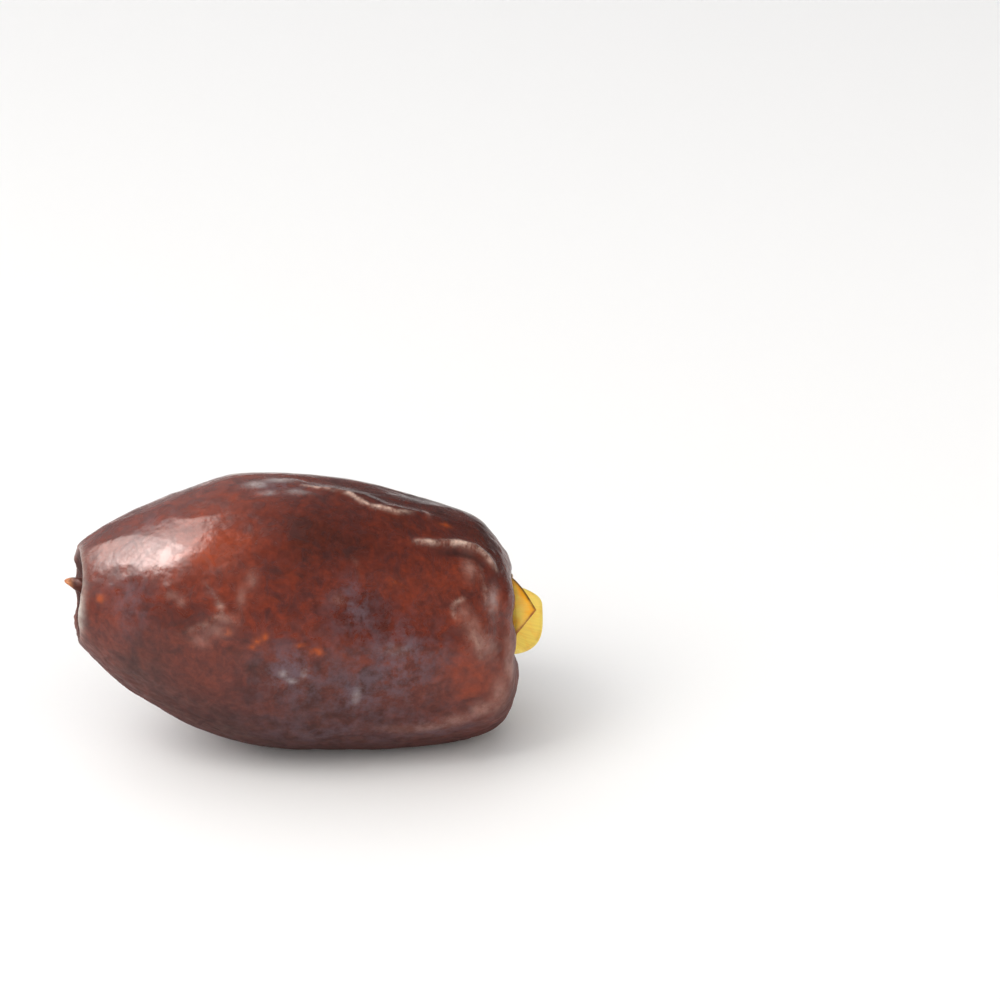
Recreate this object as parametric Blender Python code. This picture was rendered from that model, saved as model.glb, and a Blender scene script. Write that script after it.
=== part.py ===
"""Seedless date lying on its side, with its yellow calyx cap and its dried style tip.

Metres, +Z up. The fruit's length runs along X: the style tip is at the -X end and the calyx
at the +X end. The origin lies on the surface that the fruit rests on, under the middle of
the part's bounding box. Three solids: fruit, calyx and style_tip.
"""
import math

import bmesh
import bpy
import numpy as np
from mathutils import Vector, noise

MM = 0.001

# Fruit: sizes in millimetres, measured from the middle of its own long axis
GIRTH_RADIUS = 13.1        # half its greatest thickness
SIDE_SHARE = 0.98          # width across the axis as a share of the height
STYLE_LENGTH = 23.8        # reach of the tapering half, before its end is hollowed
STYLE_FULLNESS = 1.94      # higher is fuller along the flank
STYLE_BLUNTNESS = 1.3      # higher is blunter at the end
CALYX_LENGTH = 21.4        # reach of the blunt half
CALYX_FULLNESS = 1.74
CALYX_BLUNTNESS = 5.3
STYLE_RIM_RADIUS = 4.5     # rim of the hollow round the style tip
STYLE_HOLLOW_DEPTH = 1.4
CALYX_RIM_RADIUS = 5.5     # rim of the hollow that the calyx sits in
CALYX_HOLLOW_DEPTH = 1.5
RIM_ROUNDING = 0.4

# Lie of the fruit: it leans on its flattened underside, with the style end raised
PITCH = math.radians(8.7)
ARCH = 0.27                # rise of the middle of the axis over its ends
CALYX_SLANT = 0.16         # the blunt end leans back towards its top
CALYX_RAISE = 2.35         # rise of the calyx and its hollow over the axis
STYLE_SLANT_UP = -0.08     # lean of the hollowed end, up the fruit
STYLE_SLANT_SIDE = 0.05    # lean of the hollowed end, across the fruit
SINK = 0.92                # depth of the underside pressed flat by the weight
PRESS_ROUNDING = 0.3       # roundness of the edge of that flat spot
PRESS_TRIM = 0.1
LOW_POINTS = (             # the pressed underside touches in three places, round the weight:
    (-2.2, 0.0, 1.2, 2.4),     # (along, across, half width of its flat, width of its slope)
    (7.25, -3.5, 0.6, 0.8),
    (7.25, 3.5, 0.6, 0.8),
)
LOW_POINT_DROP = 0.2       # how far they stand below the rest of the pressed underside

# Relief of the skin. Angles run round the axis in degrees: 0 faces -Y, 90 is the top and 180
# is the far side. A place is (millimetres along the axis, angle).
SWELLINGS = (              # (place, spread along, spread across, height)
    ((-7.0, 112), 3.0, 5.0, 0.12),
    ((-12.5, 114), 3.6, 4.5, -0.24),
    ((10.5, 108), 4.5, 5.0, -0.32),
    ((17.6, 100), 2.2, 4.0, 0.28),
    ((19.6, 24), 2.0, 4.2, -0.85),
    ((19.2, -34), 2.2, 4.5, 0.30),
    ((15.6, 34), 3.0, 2.6, -0.42),
    ((14.8, 56), 2.4, 2.2, 0.20),
    ((15.4, 14), 1.8, 2.0, 0.18),
    ((-20.1, 0), 1.4, 2.2, 0.45),
    ((-12.8, 29), 1.3, 1.2, 0.08),
    ((-8.2, 24), 1.5, 1.4, 0.12),
    ((-10.6, 12), 2.6, 1.6, 0.14),
    ((5.0, 20), 4.5, 4.0, -0.16),
    ((-1.5, 2), 4.0, 3.0, 0.14),
    ((9.0, -12), 4.0, 3.5, -0.16),
    ((-3.0, 150), 6.0, 4.0, -0.38),
    ((8.0, 172), 5.0, 4.5, 0.32),
    ((13.0, 205), 4.0, 4.0, -0.34),
    ((-11.0, 190), 4.5, 3.5, 0.24),
)
FOLDS = (                  # (height, half width, path of places)
    (0.18, 1.60, ((-16.0, 32), (-13.6, 38), (-12.0, 42), (-10.4, 49), (-8.2, 58))),
    (0.30, 0.80, ((0.8, 87), (3.2, 86), (5.0, 84), (7.0, 78), (9.7, 79), (11.7, 80))),
    (-0.26, 1.30, ((-1.0, 97), (2.0, 97), (5.0, 94), (7.8, 89), (11.0, 88))),
    (0.30, 0.80, ((9.8, 61), (12.5, 63), (14.6, 66), (16.4, 67), (17.6, 65), (18.8, 61))),
    (-0.28, 1.10, ((11.0, 54), (14.0, 58), (16.6, 59), (18.2, 54))),
    (0.28, 1.30, ((19.4, 9), (20.0, -8), (19.2, -19), (17.4, -27), (13.8, -29), (10.5, -35))),
    (-0.24, 1.00, ((13.5, 10), (13.6, -6), (14.0, -20))),
    (0.34, 1.00, ((-15.0, 160), (-8.0, 166), (0.0, 160), (8.0, 150), (15.0, 140))),
    (-0.38, 1.20, ((-14.0, 178), (-6.0, 184), (3.0, 180), (12.0, 186), (18.0, 190))),
    (0.32, 1.00, ((-10.0, 206), (-2.0, 212), (6.0, 208), (15.0, 214))),
    (-0.34, 1.10, ((-16.0, 226), (-8.0, 232), (1.0, 228), (9.0, 236))),
)
WRINKLE_LENGTH = 11.0      # lengthwise and crosswise size of the fine wrinkles
WRINKLE_WIDTH = 3.0
WRINKLE_FRONT = 0.05       # their height on the near side and on the far side
WRINKLE_BACK = 0.30
LUMP_SIZE = 8.0
LUMP_HEIGHT = 0.16
SHOULDER_PUCKERS = 9       # small gathers round the hollow of the calyx
PUCKER_HEIGHT = 0.16

# Calyx: a shallow cup with three broad lobes, one solid
CALYX_CUP_RADIUS = 3.1
CALYX_MOUTH_RADIUS = 3.8
CALYX_CUP_HEIGHT = 0.7
CALYX_THICKNESS = 0.6
CALYX_GAP = 0.3            # clearance to the floor of its hollow
CALYX_NOTCH = 0.06         # what is left of the lobes' height between them
CALYX_LOBES = (            # (angle, height, width below and above it, roundness, spread)
    (34, 2.35, 42, 66, 1.0, -0.25),
    (190, 3.8, 38, 90, 3.0, 0.05),
    (128, 0.7, 36, 36, 1.6, 0.10),
)
SCAR_RADIUS = 1.3          # raised ring where the stalk broke off, in the middle of the cup
SCAR_HEIGHT = 0.35

# Style tip: a short dried point standing in the hollow of the other end
TIP_RADIUS = 0.90
TIP_LENGTH = 2.4
TIP_RISE = 0.35            # sideways bend of its point
TIP_GAP = 0.3
TIP_PLACE = (-0.2, 1.05)   # across and up from the axis

# Mesh sizes: segments round the axis and rings along it
FRUIT_MESH = (88, 48)
CALYX_MESH = (54, 22)
TIP_MESH = (20, 12)

SKIN_COLOUR = (0.13, 0.032, 0.020, 1.0)
CALYX_COLOUR = (0.74, 0.46, 0.085, 1.0)
TIP_COLOUR = (0.27, 0.085, 0.035, 1.0)


def smooth_max(a, b, rounding):
    """The larger of two values, with a rounded passage from one to the other."""
    return 0.5 * (a + b + np.sqrt((a - b) ** 2 + rounding ** 2))


def flank(radius, length, fullness, bluntness):
    """Distance along the axis at which one half of the fruit has this radius."""
    share = np.clip(radius / GIRTH_RADIUS, 0.0, 1.0)
    return length * (1.0 - share ** bluntness) ** (1.0 / fullness)


def hollowed_end(radius, length, fullness, bluntness, rim, depth):
    """One half's outline with the hollow of its end, as distances along the axis."""
    outside = flank(radius, length, fullness, bluntness)
    floor = flank(rim, length, fullness, bluntness) - depth * (1.0 - (radius / rim) ** 2)
    return -smooth_max(-outside, -floor, RIM_ROUNDING)


def fruit_outline(count=1200):
    """The half outline from hollow floor to hollow floor: share of the way, along and radius.

    The share counts bends as well as length, so rings gather where the outline turns.
    """
    radius = GIRTH_RADIUS * np.sin(np.linspace(0.0, math.pi / 2, count))
    style = -hollowed_end(radius, STYLE_LENGTH, STYLE_FULLNESS, STYLE_BLUNTNESS,
                          STYLE_RIM_RADIUS, STYLE_HOLLOW_DEPTH)
    calyx = hollowed_end(radius, CALYX_LENGTH, CALYX_FULLNESS, CALYX_BLUNTNESS,
                         CALYX_RIM_RADIUS, CALYX_HOLLOW_DEPTH)
    along = np.concatenate([style, calyx[::-1][1:]])
    radius = np.concatenate([radius, radius[::-1][1:]])
    step = np.hypot(np.diff(along), np.diff(radius))
    heading = np.unwrap(np.arctan2(np.diff(radius), np.diff(along)))
    turn = np.abs(np.diff(heading, prepend=heading[0]))
    share = np.concatenate([[0.0], np.cumsum(step + 1.2 * turn)])
    return share / share[-1], along, radius


OUTLINE = fruit_outline()


def round_the_axis(along, radius, angle):
    """Points at this distance along the axis, radius and angle (radians)."""
    across = -radius * np.cos(angle) * SIDE_SHARE
    return np.stack([along, across, radius * np.sin(angle)], axis=-1)


def place_on_skin(place):
    """The point of the smooth flank at (millimetres along, degrees round)."""
    outer = OUTLINE[2] > STYLE_RIM_RADIUS + 0.2
    radius = np.interp(place[0], OUTLINE[1][outer], OUTLINE[2][outer])
    return round_the_axis(place[0], radius, math.radians(place[1]))


def swelling(points, place, spread_along, spread_across, height):
    """A soft bump, or a dent where the height is negative."""
    apart = points - place_on_skin(place)
    across = np.hypot(apart[:, 1], apart[:, 2])
    return height * np.exp(-(apart[:, 0] / spread_along) ** 2 - (across / spread_across) ** 2)


def fold(points, height, half_width, path):
    """A rounded ridge, or a furrow, along a path of places, fading out at both ends."""
    places = np.array([place_on_skin(place) for place in path])
    nearest = np.full(len(points), 1e9)
    progress = np.zeros(len(points))
    for number, (start, end) in enumerate(zip(places[:-1], places[1:])):
        leg = end - start
        share = np.clip((points - start) @ leg / (leg @ leg), 0.0, 1.0)
        distance = np.linalg.norm(points - start - share[:, None] * leg, axis=1)
        closer = distance < nearest
        nearest = np.where(closer, distance, nearest)
        progress = np.where(closer, (number + share) / (len(places) - 1), progress)
    fade = np.sqrt(np.clip(4.0 * progress * (1.0 - progress), 0.0, 1.0)) * 0.8 + 0.2
    return height * fade * np.exp(-(nearest / half_width) ** 2)


def noise_at(points, size):
    """Smooth noise, about -1 to 1, at points divided by a size for each direction."""
    return np.array([noise.noise(Vector(point)) for point in points / np.array(size)])


def relief(points, angle):
    """Height of the skin over the smooth flank."""
    height = np.zeros(len(points))
    for place, spread_along, spread_across, bump in SWELLINGS:
        height += swelling(points, place, spread_along, spread_across, bump)
    for bump, half_width, path in FOLDS:
        height += fold(points, bump, half_width, path)
    away = 0.5 - 0.5 * np.cos(angle - math.radians(20))
    size = (WRINKLE_LENGTH, WRINKLE_WIDTH, WRINKLE_WIDTH)
    wrinkles = 1.0 - 2.6 * np.abs(noise_at(points + 31.0, size))
    height += (WRINKLE_FRONT + (WRINKLE_BACK - WRINKLE_FRONT) * away ** 2) * wrinkles
    height += LUMP_HEIGHT * noise_at(points + 7.0, (LUMP_SIZE, LUMP_SIZE, LUMP_SIZE))
    radius = np.hypot(points[:, 1], points[:, 2])
    shoulder = np.exp(-((radius - CALYX_RIM_RADIUS - 0.8) / 1.8) ** 2) * (points[:, 0] > 0)
    height += PUCKER_HEIGHT * shoulder * np.sin(SHOULDER_PUCKERS * angle + np.sin(2 * angle))
    hollow = np.clip(radius / 3.5, 0.0, 1.0) ** 2
    return height * hollow


def lean(points):
    """Points of the straight fruit moved to its arched, pitched lie, before it is set down."""
    along, across, up = points[:, 0], points[:, 1], points[:, 2]
    calyx_end = np.clip(along / CALYX_LENGTH, 0.0, 1.0) ** 3
    style_end = np.clip(-along / 20.0, 0.0, 1.0) ** 3
    inside = np.clip(1.0 - (across ** 2 + up ** 2) / 11.0 ** 2, 0.0, 1.0) ** 2
    up = up + CALYX_RAISE * inside * calyx_end
    slant = STYLE_SLANT_UP * up - STYLE_SLANT_SIDE * across
    slanted = along - CALYX_SLANT * up * calyx_end + slant * style_end
    raised = up + ARCH * (1.0 - (along / 21.0) ** 2)
    x = slanted * math.cos(PITCH) + raised * math.sin(PITCH)
    z = -slanted * math.sin(PITCH) + raised * math.cos(PITCH)
    return np.stack([x, across, z], axis=-1)


def fruit_points(share, angle):
    """Points of the skin, leaning but not yet set down."""
    along = np.interp(share, OUTLINE[0], OUTLINE[1])
    radius = np.interp(share, OUTLINE[0], OUTLINE[2])
    points = round_the_axis(along, radius, angle)
    ahead = np.clip(share + 0.002, 0.0, 1.0)
    behind = np.clip(share - 0.002, 0.0, 1.0)
    rise = np.interp(ahead, OUTLINE[0], OUTLINE[2]) - np.interp(behind, OUTLINE[0], OUTLINE[2])
    run = np.interp(ahead, OUTLINE[0], OUTLINE[1]) - np.interp(behind, OUTLINE[0], OUTLINE[1])
    length = np.hypot(rise, run)
    outward = round_the_axis(-rise / length, run / length, angle)
    return lean(points + outward * relief(points, angle)[:, None])


def resting_level():
    """Height of the resting surface below the leaning fruit."""
    share, angle = np.meshgrid(np.linspace(0.2, 0.95, 120),
                               np.radians(np.linspace(-130.0, -50.0, 60)))
    return fruit_points(share.ravel(), angle.ravel())[:, 2].min() + SINK


LEVEL = resting_level()


def set_down(points):
    """Leaning points lowered onto the resting surface, with the underside pressed flat.

    The pressed underside keeps three low points, which alone touch the surface.
    """
    height = points[:, 2] - LEVEL
    pressed = smooth_max(height, np.zeros(len(points)), PRESS_ROUNDING) - PRESS_TRIM
    settled = points.copy()
    settled[:, 2] = np.maximum(pressed, 0.0) + LOW_POINT_DROP
    for along, across, flat, slope_width in LOW_POINTS:
        apart = np.hypot(points[:, 0] - along, points[:, 1] - across)
        slope = np.clip((apart - flat) / slope_width, 0.0, 1.0)
        lift = slope ** 2 * (3.0 - 2.0 * slope)
        settled[:, 2] *= np.where(height < 3.0, lift, 1.0)
    return settled


def carry(points):
    """Points of a piece that the fruit carries, moved with the fruit but not pressed."""
    carried = lean(points)
    carried[:, 2] -= LEVEL + PRESS_TRIM - LOW_POINT_DROP
    return carried


def lobe_height(angle):
    """Height of the calyx's rim over its cup, and how far it spreads there."""
    height = np.full(angle.shape, CALYX_NOTCH)
    spread = np.zeros(angle.shape)
    for middle, tall, below, above, roundness, lean_out in CALYX_LOBES:
        apart = np.degrees(np.angle(np.exp(1j * (angle - math.radians(middle)))))
        share = np.clip(np.abs(apart) / np.where(apart < 0.0, below, above), 0.0, 1.0)
        lobe = CALYX_NOTCH + (tall - CALYX_NOTCH) * (1.0 - share ** roundness)
        spread = np.where(lobe > height, lean_out * (1.0 - share), spread)
        height = np.maximum(height, lobe)
    return height, spread


def calyx_sheet(way, angle):
    """Middle surface of the calyx: way 0 is the centre of the cup and 1 the rim."""
    cup = np.clip(way / 0.5, 0.0, 1.0)
    lobe = np.clip((way - 0.5) / 0.5, 0.0, 1.0)
    height, spread = lobe_height(angle)
    curve = np.sin(cup * math.pi / 2)
    radius = CALYX_CUP_RADIUS * curve
    radius = radius + (CALYX_MOUTH_RADIUS - CALYX_CUP_RADIUS) * np.sin(lobe * math.pi / 2)
    radius = radius + spread * lobe ** 2
    rise = CALYX_CUP_HEIGHT * (1.0 - np.cos(cup * math.pi / 2)) + height * lobe
    scar = SCAR_HEIGHT * np.exp(-((radius - 0.6 * SCAR_RADIUS) / (0.45 * SCAR_RADIUS)) ** 2)
    return round_the_axis(rise + scar * (1.0 - lobe), radius, angle)


def calyx_points(share, angle):
    """Closed surface of the calyx: its outer face, then over the rim to its inner face."""
    way = 1.0 - np.abs(2.0 * share - 1.0)
    step = 0.004
    inner = np.clip(way - step, 0.002, 1.0)
    outer = np.clip(way + step, 0.0, 1.0)
    up_the_wall = calyx_sheet(outer, angle) - calyx_sheet(inner, angle)
    round_the_wall = calyx_sheet(np.maximum(way, 0.01), angle + 0.01)
    round_the_wall = round_the_wall - calyx_sheet(np.maximum(way, 0.01), angle - 0.01)
    outward = np.cross(up_the_wall, round_the_wall)
    outward /= np.linalg.norm(outward, axis=1)[:, None]
    side = np.where(share < 0.5, 1.0, -1.0) * np.sqrt(np.clip(1.0 - way ** 8, 0.0, 1.0))
    sheet = calyx_sheet(way, angle) + outward * (side * CALYX_THICKNESS / 2)[:, None]
    rim_at = flank(CALYX_RIM_RADIUS, CALYX_LENGTH, CALYX_FULLNESS, CALYX_BLUNTNESS)
    sheet[:, 0] += rim_at - CALYX_HOLLOW_DEPTH + CALYX_GAP + CALYX_THICKNESS / 2
    return carry(sheet)


def tip_points(share, angle):
    """Closed surface of the style tip, from its point to its root in the hollow."""
    out = 1.0 - share
    radius = TIP_RADIUS * np.sin(np.pi * share) ** 0.5 * (1.0 - 0.50 * out)
    lumps = 0.18 * np.cos(2 * angle + 0.6) + 0.12 * np.sin(3 * angle + 9.0 * share)
    radius = radius * (1.0 + lumps)
    rim_at = -flank(STYLE_RIM_RADIUS, STYLE_LENGTH, STYLE_FULLNESS, STYLE_BLUNTNESS)
    root = rim_at + STYLE_HOLLOW_DEPTH - TIP_GAP
    along = root - TIP_LENGTH * out ** 1.3
    points = round_the_axis(along, radius, angle)
    points[:, 1] += TIP_PLACE[0]
    points[:, 2] += TIP_PLACE[1] + TIP_RISE * out ** 2
    return carry(points)


def reshaped_sphere(name, mesh_size, surface, material, middle, collection, parent):
    """A sphere primitive whose points are moved to surface(share of the way, angle).

    The sphere's axis becomes the fruit's: its lower pole is the -X end of the surface.
    """
    segments, rings = mesh_size
    mesh = bpy.data.meshes.new(name)
    shape = bmesh.new()
    bmesh.ops.create_uvsphere(shape, u_segments=segments, v_segments=rings, radius=1.0)
    bmesh.ops.triangulate(shape, faces=shape.faces)
    ball = np.array([vertex.co for vertex in shape.verts])
    share = np.arccos(np.clip(-ball[:, 2], -1.0, 1.0)) / math.pi
    angle = math.pi - np.arctan2(ball[:, 1], ball[:, 0])
    points = surface(share, angle) - np.array([middle[0], middle[1], 0.0])
    for vertex, point in zip(shape.verts, points * MM):
        vertex.co = Vector(point)
    shape.normal_update()
    shape.to_mesh(mesh)
    shape.free()
    mesh.shade_smooth()
    mesh.materials.append(material)
    piece = bpy.data.objects.new(name, mesh)
    collection.objects.link(piece)
    piece.parent = parent
    return piece


def plain_material(name, colour, roughness):
    """A Principled material of one colour."""
    material = bpy.data.materials.new(name)
    material.use_nodes = True
    shader = material.node_tree.nodes["Principled BSDF"]
    shader.inputs["Base Color"].default_value = colour
    shader.inputs["Roughness"].default_value = roughness
    shader.inputs["Metallic"].default_value = 0.0
    material.diffuse_color = colour
    return material


def middle_of_part():
    """Middle of the part's bounding box over the resting surface."""
    share, angle = np.meshgrid(np.linspace(0.0, 1.0, 121), np.linspace(0.0, 2 * math.pi, 121))
    share, angle = share.ravel(), angle.ravel()
    points = np.concatenate([set_down(fruit_points(share, angle)),
                             calyx_points(share, angle),
                             tip_points(share, angle)])
    low, high = points.min(axis=0), points.max(axis=0)
    return (low + high) / 2


def build():
    for old in list(bpy.data.objects):
        bpy.data.objects.remove(old, do_unlink=True)
    collection = bpy.data.collections.new("seedless_date")
    bpy.context.scene.collection.children.link(collection)
    holder = bpy.data.objects.new("date_origin", None)
    collection.objects.link(holder)
    middle = middle_of_part()
    skin = plain_material("date_skin", SKIN_COLOUR, 0.3)
    cap = plain_material("dry_calyx", CALYX_COLOUR, 0.6)
    stub = plain_material("dry_style", TIP_COLOUR, 0.6)
    reshaped_sphere("fruit", FRUIT_MESH, lambda share, angle: set_down(fruit_points(share, angle)),
                    skin, middle, collection, holder)
    reshaped_sphere("calyx", CALYX_MESH, calyx_points, cap, middle, collection, holder)
    reshaped_sphere("style_tip", TIP_MESH, tip_points, stub, middle, collection, holder)


build()
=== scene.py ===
"""Seedless date: the finished look of the fruit, its calyx cap and its dried style tip.

The solids' shape rules are repeated here with a finer mesh, and a finer relief, colour and
gloss are added to them. Lengths are in millimetres until a mesh is made.
"""
import math
import bmesh
import bpy
import numpy as np
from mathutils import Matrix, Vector, noise


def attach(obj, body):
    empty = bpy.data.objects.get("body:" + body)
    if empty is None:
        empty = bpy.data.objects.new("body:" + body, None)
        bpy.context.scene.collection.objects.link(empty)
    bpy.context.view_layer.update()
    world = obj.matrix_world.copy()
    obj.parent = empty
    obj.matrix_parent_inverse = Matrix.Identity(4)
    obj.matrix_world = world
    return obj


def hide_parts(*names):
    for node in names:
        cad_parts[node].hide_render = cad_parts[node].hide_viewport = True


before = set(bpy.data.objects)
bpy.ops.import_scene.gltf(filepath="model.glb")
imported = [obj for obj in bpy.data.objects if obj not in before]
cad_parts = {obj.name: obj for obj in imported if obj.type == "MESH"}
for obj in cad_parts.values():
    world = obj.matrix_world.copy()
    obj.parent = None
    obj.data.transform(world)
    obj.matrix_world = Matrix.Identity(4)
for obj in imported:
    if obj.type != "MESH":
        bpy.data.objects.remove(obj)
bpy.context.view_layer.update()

MM = 0.001

# Fruit: sizes in millimetres, measured from the middle of its own long axis
GIRTH_RADIUS = 13.1        # half its greatest thickness
SIDE_SHARE = 0.98          # width across the axis as a share of the height
STYLE_LENGTH = 23.8        # reach of the tapering half, before its end is hollowed
STYLE_FULLNESS = 1.94      # higher is fuller along the flank
STYLE_BLUNTNESS = 1.3      # higher is blunter at the end
CALYX_LENGTH = 21.4        # reach of the blunt half
CALYX_FULLNESS = 1.74
CALYX_BLUNTNESS = 5.3
STYLE_RIM_RADIUS = 4.5     # rim of the hollow round the style tip
STYLE_HOLLOW_DEPTH = 1.4
CALYX_RIM_RADIUS = 5.5     # rim of the hollow that the calyx sits in
CALYX_HOLLOW_DEPTH = 1.5
RIM_ROUNDING = 0.4

# Lie of the fruit: it leans on its flattened underside, with the style end raised
PITCH = math.radians(8.7)
ARCH = 0.27                # rise of the middle of the axis over its ends
ARCH_REACH = 21.0          # distance along the axis at which that rise is gone
CALYX_SLANT = 0.16         # the blunt end leans back towards its top
CALYX_RAISE = 2.35         # rise of the calyx and its hollow over the axis
CALYX_RAISE_RADIUS = 11.0  # distance from the axis at which that rise has faded out
STYLE_SLANT_UP = -0.08     # lean of the hollowed end, up the fruit
STYLE_SLANT_SIDE = 0.05    # lean of the hollowed end, across the fruit
STYLE_SLANT_REACH = 20.0   # distance along the axis at which that lean is whole
SINK = 0.92                # depth of the underside pressed flat by the weight
PRESS_ROUNDING = 0.3       # roundness of the edge of that flat spot
PRESS_TRIM = 0.1
LOW_POINTS = (             # the pressed underside touches in three places, round the weight:
    (-2.2, 0.0, 1.2, 2.4),     # (along, across, half width of its flat, width of its slope)
    (7.25, -3.5, 0.6, 0.8),
    (7.25, 3.5, 0.6, 0.8),
)
LOW_POINT_DROP = 0.2       # how far they stand below the rest of the pressed underside

# Relief of the skin. Angles run round the axis in degrees: 0 faces -Y, 90 is the top and 180
# is the far side. A place is (millimetres along the axis, angle).
SWELLINGS = (              # (place, spread along, spread across, height)
    ((-7.0, 112), 3.0, 5.0, 0.12),
    ((-12.5, 114), 3.6, 4.5, -0.24),
    ((10.5, 108), 4.5, 5.0, -0.32),
    ((17.6, 100), 2.2, 4.0, 0.28),
    ((19.6, 24), 2.0, 4.2, -0.85),
    ((19.2, -34), 2.2, 4.5, 0.30),
    ((15.6, 34), 3.0, 2.6, -0.42),
    ((14.8, 56), 2.4, 2.2, 0.20),
    ((15.4, 14), 1.8, 2.0, 0.18),
    ((-20.1, 0), 1.4, 2.2, 0.45),
    ((-12.8, 29), 1.3, 1.2, 0.08),
    ((-8.2, 24), 1.5, 1.4, 0.12),
    ((-10.6, 12), 2.6, 1.6, 0.14),
    ((5.0, 20), 4.5, 4.0, -0.16),
    ((-1.5, 2), 4.0, 3.0, 0.14),
    ((9.0, -12), 4.0, 3.5, -0.16),
    ((-3.0, 150), 6.0, 4.0, -0.38),
    ((8.0, 172), 5.0, 4.5, 0.32),
    ((13.0, 205), 4.0, 4.0, -0.34),
    ((-11.0, 190), 4.5, 3.5, 0.24),
)
FOLDS = (                  # (height, half width, path of places)
    (0.18, 1.60, ((-16.0, 32), (-13.6, 38), (-12.0, 42), (-10.4, 49), (-8.2, 58))),
    (0.30, 0.80, ((0.8, 87), (3.2, 86), (5.0, 84), (7.0, 78), (9.7, 79), (11.7, 80))),
    (-0.26, 1.30, ((-1.0, 97), (2.0, 97), (5.0, 94), (7.8, 89), (11.0, 88))),
    (0.30, 0.80, ((9.8, 61), (12.5, 63), (14.6, 66), (16.4, 67), (17.6, 65), (18.8, 61))),
    (-0.28, 1.10, ((11.0, 54), (14.0, 58), (16.6, 59), (18.2, 54))),
    (0.28, 1.30, ((19.4, 9), (20.0, -8), (19.2, -19), (17.4, -27), (13.8, -29), (10.5, -35))),
    (-0.24, 1.00, ((13.5, 10), (13.6, -6), (14.0, -20))),
    (0.34, 1.00, ((-15.0, 160), (-8.0, 166), (0.0, 160), (8.0, 150), (15.0, 140))),
    (-0.38, 1.20, ((-14.0, 178), (-6.0, 184), (3.0, 180), (12.0, 186), (18.0, 190))),
    (0.32, 1.00, ((-10.0, 206), (-2.0, 212), (6.0, 208), (15.0, 214))),
    (-0.34, 1.10, ((-16.0, 226), (-8.0, 232), (1.0, 228), (9.0, 236))),
)
WRINKLE_LENGTH = 11.0      # lengthwise and crosswise size of the fine wrinkles
WRINKLE_WIDTH = 3.0
WRINKLE_FRONT = 0.05       # their height on the near side and on the far side
WRINKLE_BACK = 0.30
WRINKLE_SHARPNESS = 2.6    # how narrow their furrows are
WRINKLE_QUIET_SIDE = 20    # angle of the side where they are lowest
WRINKLE_SEED = 31.0        # where in the noise they are taken from
LUMP_SIZE = 8.0
LUMP_HEIGHT = 0.16
LUMP_SEED = 7.0
SHOULDER_PUCKERS = 9       # small gathers round the hollow of the calyx
PUCKER_HEIGHT = 0.16
PUCKER_OFFSET = 0.8        # how far outside the rim they are highest
PUCKER_SPREAD = 1.8
SMOOTH_RADIUS = 3.5        # nearer to the axis than this the relief fades out
ENDS_FROM = 15.0           # the ends of the fruit lie farther along than this, either way
BEND_WEIGHT = 1.2          # how many mm of outline a radian of bend counts for

# Calyx: a shallow cup with three broad lobes, one solid
CALYX_CUP_RADIUS = 3.1
CALYX_MOUTH_RADIUS = 3.8
CALYX_CUP_HEIGHT = 0.7
CALYX_THICKNESS = 0.6
CALYX_GAP = 0.3            # clearance to the floor of its hollow
CALYX_NOTCH = 0.06         # what is left of the lobes' height between them
CALYX_LOBES = (            # (angle, height, width below and above it, roundness, spread)
    (34, 2.35, 42, 66, 1.0, -0.25),
    (190, 3.8, 38, 90, 3.0, 0.05),
    (128, 0.7, 36, 36, 1.6, 0.10),
)
SCAR_RADIUS = 1.3          # raised ring where the stalk broke off, in the middle of the cup
SCAR_HEIGHT = 0.35

# Style tip: a short dried point standing in the hollow of the other end
TIP_RADIUS = 0.90
TIP_LENGTH = 2.4
TIP_TAPER = 0.50           # share of its thickness that is lost towards the point
TIP_RISE = 0.35            # sideways bend of its point
TIP_GAP = 0.3
TIP_PLACE = (-0.2, 1.05)   # across and up from the axis

# Finer than the solids
HOLLOW_PLEATS = 17         # small pleats that run out from the style tip
HOLLOW_PLEAT_HEIGHT = 0.07
HOLLOW_PLEAT_RADIUS = 2.9  # distance from the axis where they are highest
HOLLOW_PLEAT_SPREAD = 1.1
FRUIT_MESH = (400, 236)    # segments round the axis and rings along it
CALYX_MESH = (260, 200)
TIP_MESH = (64, 48)
FINE_FOLDS = (             # (height, half width, path of places)
    (0.17, 0.28, ((-1.1, 90), (0.9, 87), (3.6, 84), (4.6, 80), (5.4, 77), (8.1, 76), (9.8, 78))),
    (0.20, 0.34, ((9.8, 61), (12.5, 63), (14.6, 66), (16.4, 67), (17.3, 66), (18.9, 60))),
    (-0.16, 0.40, ((12.2, 58), (14.6, 61), (16.4, 62), (17.8, 58))),
    (0.10, 0.32, ((15.2, 38), (14.3, 36), (13.9, 32), (14.2, 27))),
    (0.07, 0.36, ((15.6, 22), (16.6, 16), (17.0, 8))),
    (-0.07, 0.36, ((14.6, 60), (14.4, 55), (14.8, 49))),
    (0.06, 0.34, ((17.0, 60), (17.3, 54), (16.8, 48))),
    (0.08, 0.35, ((17.0, 52), (17.6, 44), (17.4, 36))),
    (-0.07, 0.35, ((11.6, 66), (8.0, 64), (3.5, 66))),
    (0.06, 0.40, ((-9.8, 34), (-8.6, 27), (-8.0, 20), (-9.6, 14), (-11.8, 8))),
    (0.04, 0.30, ((3.2, 50), (4.2, 46), (4.6, 40))),
    (0.09, 0.35, ((-15.0, 172), (-6.0, 176), (2.0, 172), (9.0, 178))),
    (-0.10, 0.35, ((-13.0, 196), (-4.0, 200), (5.0, 196), (13.0, 201))),
    (0.10, 0.35, ((-12.0, 218), (-3.0, 224), (7.0, 220), (14.0, 224))),
)
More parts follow.
